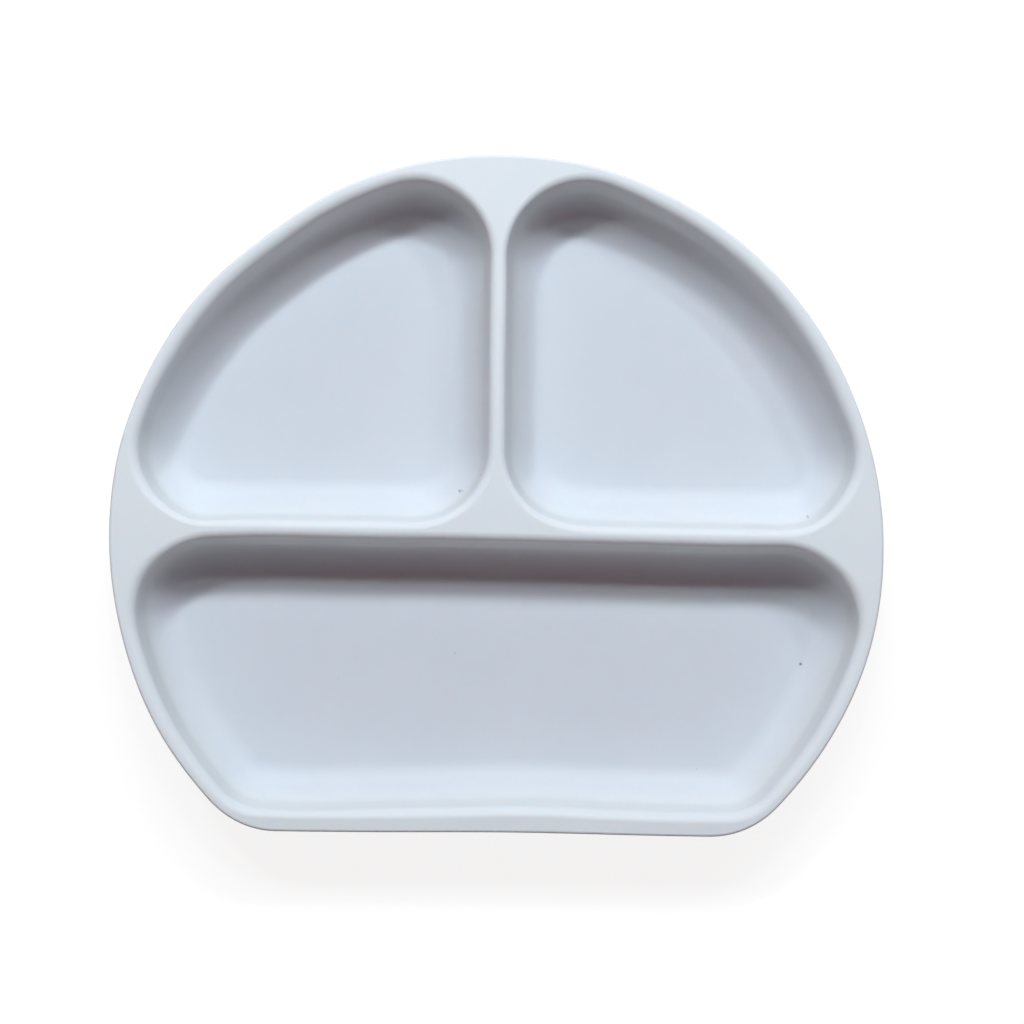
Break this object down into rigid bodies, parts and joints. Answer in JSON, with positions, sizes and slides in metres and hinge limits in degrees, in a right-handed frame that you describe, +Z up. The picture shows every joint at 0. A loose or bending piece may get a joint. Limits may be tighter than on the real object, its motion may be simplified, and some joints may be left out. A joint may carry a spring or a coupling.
{
  "type": "divided plate",
  "caption": "One-piece soft plate for a small child: a round outline cut off straight in front, a flat rim, and compartments parted by thin walls that curve into the floors",
  "frame": {"origin": "on the table, under the middle of the plate's outline", "axes": "+X to the right along the straight front, +Y from the straight front to the round back, +Z up"},
  "size_m": [0.216, 0.1894, 0.025],
  "materials": {
    "silicone": "matt moulded silicone, pale cool grey"
  },
  "bodies": {
    "root": {"plate": "silicone"}
  },
  "joints": []
}
